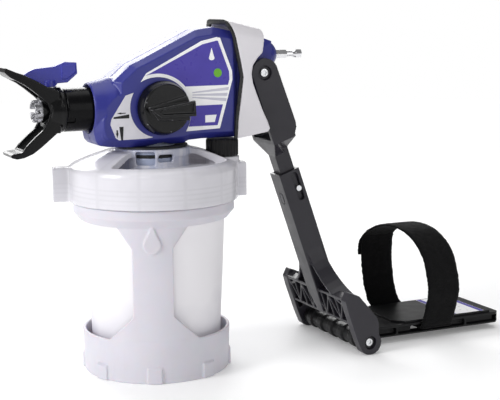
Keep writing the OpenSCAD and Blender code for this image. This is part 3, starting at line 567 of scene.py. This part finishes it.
MOULDED = {  # node: (cell, smoothing rounds, share of faces kept)
    "cup_support": (0.65, 3, 0.3), "cup_cover": (0.8, 4, 0.4), "vac_cap": (0.35, 2, 0.4),
    "housing_left": (0.7, 3, 0.3), "housing_right": (0.6, 3, 0.3), "saddle_cover": (0.6, 3, 0.3),
    "saddle_trim": (0.5, 3, 0.5), "prime_knob": (0.4, 3, 0.4), "retaining_nut": (0.35, 2, 0.4),
    "tip_guard": (0.35, 4, 0.4), "tip_flag": (0.3, 3, 0.5), "upper_arm": (0.5, 3, 0.3),
    "lower_arm": (0.5, 3, 0.3), "foot_plate": (0.6, 3, 0.35), "lock_button": (0.25, 3, 0.5),
    "inlet_manifold": (0.5, 2, 0.4),
}
MACHINED = {  # node: width of its bevels
    "hex_shaft": 0.25, "housing_screws": 0.15, "arm_screws": 0.15, "foot_screws": 0.15, "guide_screw": 0.15,
    "tip_barrel": 0.2, "tip_seat": 0.2, "plate_deck": 0.5, "suction_strainer": 0.3, "outlet_fitting": 0.3,
}


def ease_edges():
    for node, (cell, rounds, keep) in MOULDED.items():
        mould(node, cell, rounds, keep)
    for node, width in MACHINED.items():
        break_edges(node, width)


# ---------------------------------------------------------------- labels

LABEL_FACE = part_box("side_label")[0].y / MM
LABEL_RING = (-3.6, 202.1)  # centre of the label's round cut-out beside the knob
LABEL_CUT = 27.4


def inset(points, depth):
    """Moves a clockwise outline's edges inwards by depth."""
    moved = []
    count = len(points)
    for i in range(count):
        p, q, r = (Vector(points[(i + k - 1) % count]) for k in range(3))
        a, b = (q - p).normalized(), (r - q).normalized()
        side_a, side_b = Vector((a.y, -a.x)), Vector((b.y, -b.x))
        along = (side_a + side_b).normalized()
        moved.append(tuple(q + along * depth / max(0.3, along.dot(side_a))))
    return moved


def round_arc(centre, radius, start, end, steps=24):
    """Points on an arc between two angles in degrees."""
    turn = [math.radians(start + (end - start) * i / steps) for i in range(steps + 1)]
    return [(centre[0] + radius * math.cos(a), centre[1] + radius * math.sin(a)) for a in turn]


def at_height(p, q, z):
    """The point of the line through p and q at height z."""
    t = (z - p[1]) / (q[1] - p[1])
    return (p[0] + (q[0] - p[0]) * t, z)


INK = 0.08    # how far a printed shape stands in front of the film below
LIFT = 0.015  # its clearance from that film


def print_on_side(name, outlines, face, material):
    """Flat printed shapes in X and Z, a hair in front of the face at Y."""
    vertices, faces = [], []
    for outline in outlines:
        n, first = len(outline), len(vertices)
        vertices += [(x, face - INK, z) for x, z in outline] + [(x, face - LIFT, z) for x, z in outline]
        faces.append(tuple(first + i for i in range(n)))
        faces.append(tuple(first + n + i for i in reversed(range(n))))
        faces += [(first + i, first + n + i, first + n + (i + 1) % n, first + (i + 1) % n) for i in range(n)]
    obj = add_mesh(name, vertices, faces, smooth=False)
    obj.data.materials.append(materials[material])
    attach(obj, "pump_unit")


LABEL_OUTLINE = [(45.8, 258.4), (48.8, 257.8), (58.6, 232.2), (58.8, 225.4), (47.7, 188.1), (4, 186.6),
                 (-16.6, 226.3), (-12.1, 232.6), (33, 255.6)]
LABEL_BORDER = 2.6         # the label's white edge
STRIPE = (206.5, 221.5)    # heights of its white stripe
DROP, DROP_TIP = (41.5, 243.4), 7  # the paint drop: its round end's centre, and how far up it tapers
DOT = (46.4, 231)


def side_label_print():
    """The side label's two purple fields, with a paint drop, a blank sticker, a fan of stripes and a dot."""
    inner = inset(LABEL_OUTLINE, LABEL_BORDER)
    stripe_low, stripe_high = STRIPE
    reach, close = LABEL_CUT + LABEL_BORDER, LABEL_CUT + 0.1
    meets = math.degrees(math.asin((stripe_high - LABEL_RING[1]) / reach))
    upper = [inner[8], inner[0], inner[1], inner[2], inner[3], at_height(inner[3], inner[4], stripe_high)]
    upper += round_arc(LABEL_RING, reach, meets, 108)
    low = math.degrees(math.asin((inner[4][1] - LABEL_RING[1]) / close))
    high = math.degrees(math.asin((stripe_low - LABEL_RING[1]) / close))
    lower = [at_height(inner[3], inner[4], stripe_low), inner[4]]
    lower += round_arc(LABEL_RING, close, low, high)
    print_on_side("side_label_print", [upper, lower], LABEL_FACE, "print_blue")
    drop = round_arc(DROP, 2.6, 205, 335) + [(DROP[0], DROP[1] + DROP_TIP)]
    sticker = [(35.4, 193.2), (43.4, 193.2), (45, 198.8), (35.4, 198.8)]
    print_on_side("side_label_drop", [drop, sticker], LABEL_FACE - INK, "label_film")
    fan = [
        [(25, 212.6), (53.4, 208.8), (53.6, 211.2), (25, 213.4)],
        [(25, 214.4), (54.2, 213), (54.6, 215.4), (25, 215.2)],
        [(25, 216.2), (55.2, 217.4), (55.8, 219.8), (25, 217)],
    ]
    print_on_side("side_label_fan", fan, LABEL_FACE, "fan_ink")
    dot = round_arc(DOT, 3.4, 0, 350, 26)
    print_on_side("side_label_dot", [dot], LABEL_FACE - INK, "ink_green")


def position_label_print():
    """The knob's two positions: a lying and a standing wedge, each with an arrow."""
    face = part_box("position_label")[0].y / MM
    lying = [(-38.9, 200.8), (-26.5, 202.4), (-26.5, 199.4), (-38.9, 199.5)]
    standing = [(-34.6, 193.3), (-31.2, 193.3), (-31.8, 183.2), (-33.4, 183.2)]
    forwards = [(-36.2, 203.4), (-32.8, 204.2), (-32.8, 203.8), (-29.2, 203.7), (-29.2, 203.1), (-32.8, 203),
                (-32.8, 202.6)]
    down = [(-36.9, 190.9), (-35.7, 190.9), (-35.7, 188.5), (-35.2, 188.5), (-36.3, 184.9), (-37.4, 188.5),
            (-36.9, 188.5)]
    print_on_side("position_print", [lying, standing, forwards, down], face, "ink_black")


BAR_INSET, BAR_WIDTH = 0.4, 4.2  # the plate label's two blue bars: gap to its edge, and width


def plate_label_print():
    """A blue bar along each end of the plate's label."""
    low, high = (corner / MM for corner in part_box("plate_label"))
    front, back = low.y + BAR_INSET, high.y - BAR_INSET
    vertices, faces = [], []
    for x0 in (low.x + BAR_INSET, high.x - BAR_INSET - BAR_WIDTH):
        x1 = x0 + BAR_WIDTH
        outline = [(x0, front), (x1, front), (x1, back), (x0, back)]
        first = len(vertices)
        vertices += [(x, y, high.z + LIFT) for x, y in outline] + [(x, y, high.z + INK) for x, y in outline]
        faces += [(first, first + 3, first + 2, first + 1), tuple(first + 4 + i for i in range(4))]
        faces += [(first + i, first + (i + 1) % 4, first + 4 + (i + 1) % 4, first + 4 + i) for i in range(4)]
    obj = add_mesh("plate_label_print", vertices, faces, smooth=False)
    obj.data.materials.append(materials["print_blue"])
    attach(obj, "plate")


# ---------------------------------------------------------------- strap

STRAP_X = 241  # where its middle crosses the plate
STRAP_WIDTH = 31
STRAP_THICK = 2.1
STRAP_COLUMNS = 18  # faces across it
STRAP_STEPS = 14    # faces to each stretch of its path
STRAP_PATH = [  # Y, Z and lean along X: from the overlap on the far side, under the plate, up and over
    (32.5, 81, -18), (35.1, 72.5, -17.5), (36.4, 58, -17), (36.7, 44, -16), (36.4, 30, -13.5),
    (35.9, 18, -9.5), (34.6, 11.2, -4), (31, 9.4, 0), (0, 9.3, 0), (-31, 9.4, 0), (-34.8, 11.2, 0),
    (-36.2, 18, 1.5), (-37, 28, 3.2), (-37.9, 38, 5), (-36.6, 50, 5), (-33.2, 66, 3.4), (-26.2, 79.6, 0.5),
    (-14, 89.4, -4), (0, 92.6, -8), (14, 91.6, -12.5), (26.5, 86, -16), (35, 77.6, -18.5), (38.4, 69, -19.5),
    (39.4, 62, -19),
]
FRAY, FRAY_FINE = 0.03, 0.035  # how much the edges wander, as a share of the half width
SWELL = 0.2                    # how much the thickness varies


def smooth_path(points, steps):
    """A curve through the points, steps to each stretch."""
    course = []
    last = len(points) - 1
    for i in range(last):
        p0, p1, p2, p3 = (Vector(points[min(last, max(0, i + k))]) for k in (-1, 0, 1, 2))
        for k in range(steps):
            t = k / steps
            course.append(0.5 * (2 * p1 + (p2 - p0) * t + (2 * p0 - 5 * p1 + 4 * p2 - p3) * t * t
                                 + (3 * p1 - p0 - 3 * p2 + p3) * t ** 3))
    course.append(Vector(points[last]))
    return course


def strap_section():
    """Half-width fractions and thickness fractions round the strap's section, edges sewn thin."""
    top = [(-1 + 2 * i / STRAP_COLUMNS, 0.5) for i in range(STRAP_COLUMNS + 1)]
    top[0], top[-1] = (-1, 0.2), (1, 0.2)
    return top + [(x, -t) for x, t in reversed(top)]


def drift(run, x, size):
    """Smooth, repeatable wander from -1 to 1 along the strap."""
    return noise.noise(Vector((run / size, 3.7 * x, size)))


def add_strap():
    """The closed strap as one sheet: its path swept with a section that wanders, cups and frays a little."""
    course = smooth_path(STRAP_PATH, STRAP_STEPS)
    section = strap_section()
    vertices, faces, uv = [], [], []
    run = 0.0
    n = len(section)
    for i, p in enumerate(course):
        q, r = course[max(0, i - 1)], course[min(len(course) - 1, i + 1)]
        if i:
            run += (p - q).length
        step = Vector((r.z - q.z, r.x - q.x, r.y - q.y)).normalized()
        out = step.cross(Vector((1, 0, 0))).normalized()
        for x, t in section:
            edge = FRAY * drift(run, round(x), 5) + FRAY_FINE * drift(run, round(x), 1.6)
            frayed = 1 + abs(x) ** 8 * edge
            cup = 0.25 * (x * x - 0.4) + 0.35 * drift(run, x, 14) + 0.16 * drift(run, x, 3.5)
            centre = Vector((STRAP_X + p.z, p.x, p.y))
            place = centre + Vector((1, 0, 0)) * x * STRAP_WIDTH / 2 * frayed
            place += out * (t * STRAP_THICK * (1 + SWELL * drift(run, x, 2.1)) + cup * 0.5)
            vertices.append(tuple(place))
            uv.append((x * STRAP_WIDTH / 2 * MM, run * MM))
    for i in range(len(course) - 1):
        for k in range(n):
            m = (k + 1) % n
            faces.append((i * n + k, i * n + m, (i + 1) * n + m, (i + 1) * n + k))
    faces.append(tuple(range(n)))
    faces.append(tuple(len(vertices) - 1 - k for k in range(n)))
    obj = add_mesh("hook_loop_strap", vertices, faces)
    layer = obj.data.uv_layers.new(name="strap")
    for loop in obj.data.loops:
        layer.data[loop.index].uv = uv[loop.vertex_index]
    obj.data.materials.append(materials["webbing"])
    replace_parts(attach(obj, "plate"), "strap")


# ---------------------------------------------------------------- assembly

add_camera()
add_lights()
add_floor()
paint_nodes()
ease_edges()
side_label_print()
position_label_print()
plate_label_print()
add_strap()
